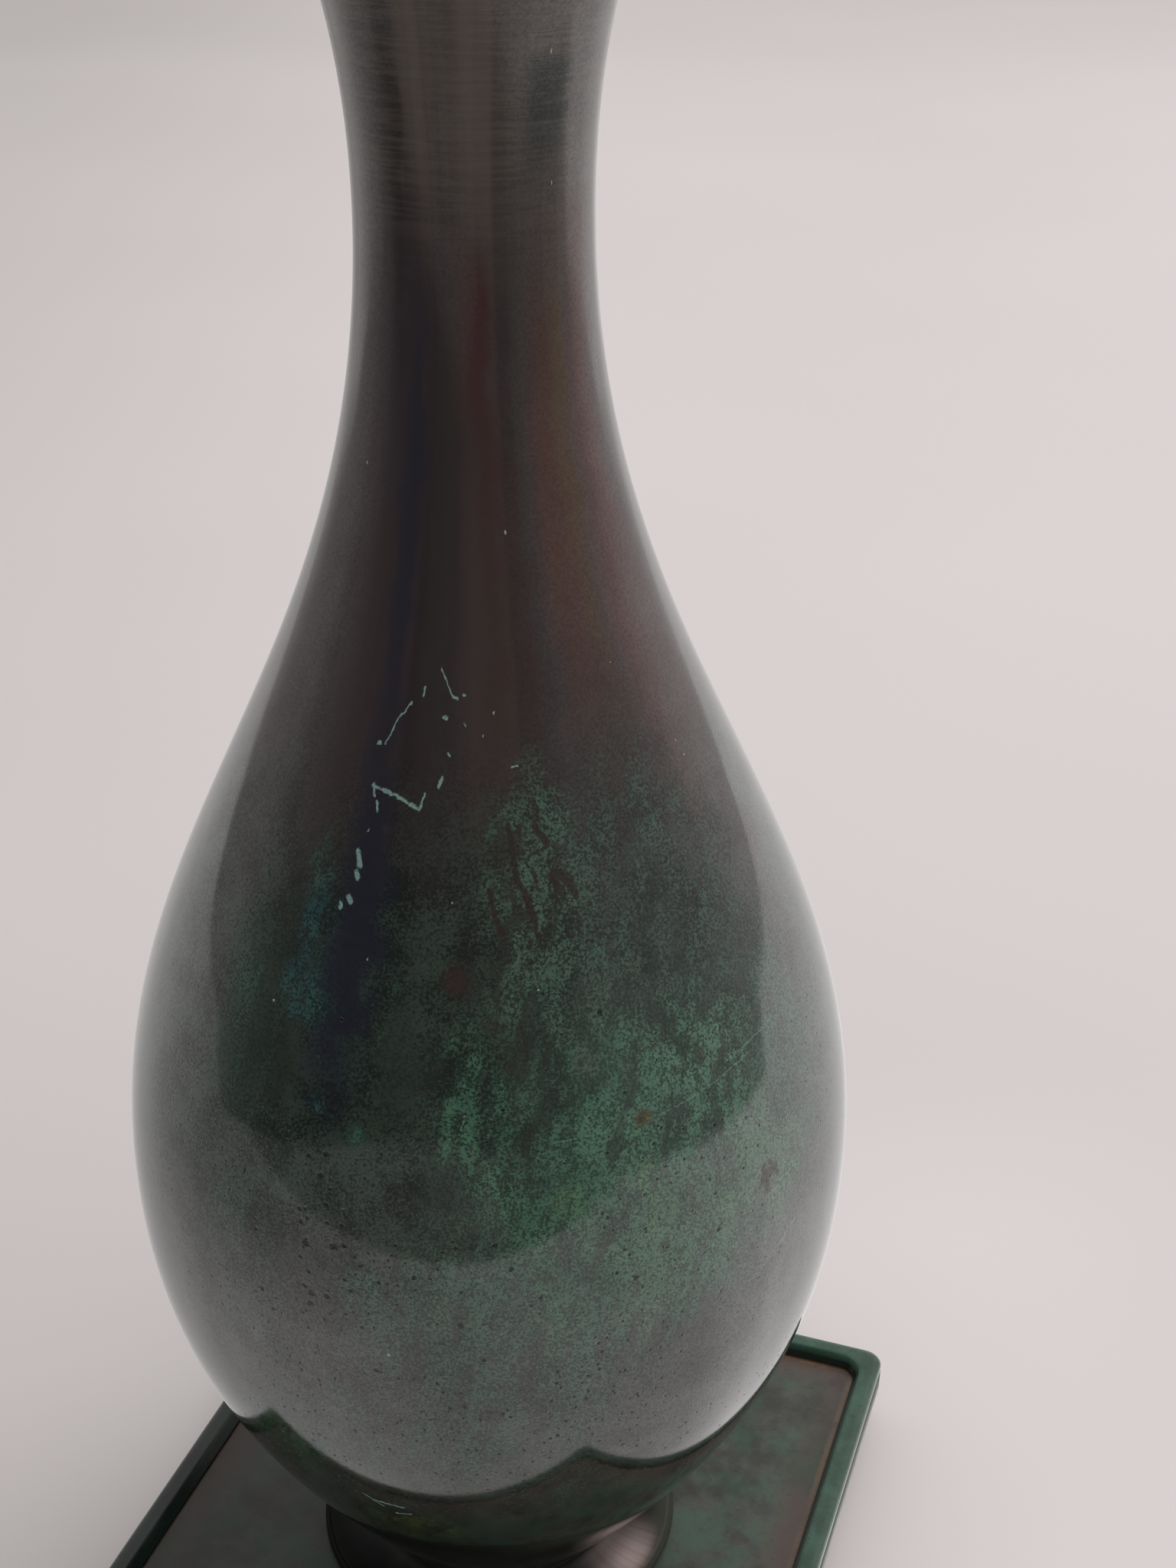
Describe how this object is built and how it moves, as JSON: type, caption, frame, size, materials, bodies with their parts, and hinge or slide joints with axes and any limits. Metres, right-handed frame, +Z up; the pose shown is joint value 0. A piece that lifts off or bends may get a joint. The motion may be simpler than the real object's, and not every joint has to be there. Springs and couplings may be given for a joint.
{
  "type": "bronze vase",
  "caption": "Bottle vase of patinated bronze with a pear-shaped belly and a slender flared neck, fixed by a stud and nut to a square rimmed drip tray on felt pads.",
  "frame": {"origin": "on the table, under the middle of the square tray", "axes": "+Z up along the vase's axis; X and Y along the tray's sides"},
  "size_m": [0.08, 0.08, 0.2029],
  "materials": {
    "vase_bronze": "dark green and brown chemical patina under wax, glossy, mottled with verdigris",
    "inner_bronze": "dull brown cast bronze",
    "foot_bronze": "dark brown patina, waxed and lightly brushed",
    "tray_bronze": "mottled green and brown patina, satin",
    "rim_bronze": "dark green patina, satin, rounded edges",
    "brass_fixings": "turned brass, unfinished",
    "steel_spring": "zinc-plated spring steel",
    "felt": "dark pressed felt"
  },
  "bodies": {
    "root": {"vase_shell": "vase_bronze", "bottom_plate": "inner_bronze", "round_foot": "foot_bronze", "fixing_stud": "brass_fixings", "tray_plate": "tray_bronze", "tray_rim": "rim_bronze", "plain_washer": "brass_fixings", "spring_washer": "steel_spring", "hex_nut": "brass_fixings", "felt_pad_front_left": "felt", "felt_pad_front_right": "felt", "felt_pad_back_left": "felt", "felt_pad_back_right": "felt"}
  },
  "joints": []
}
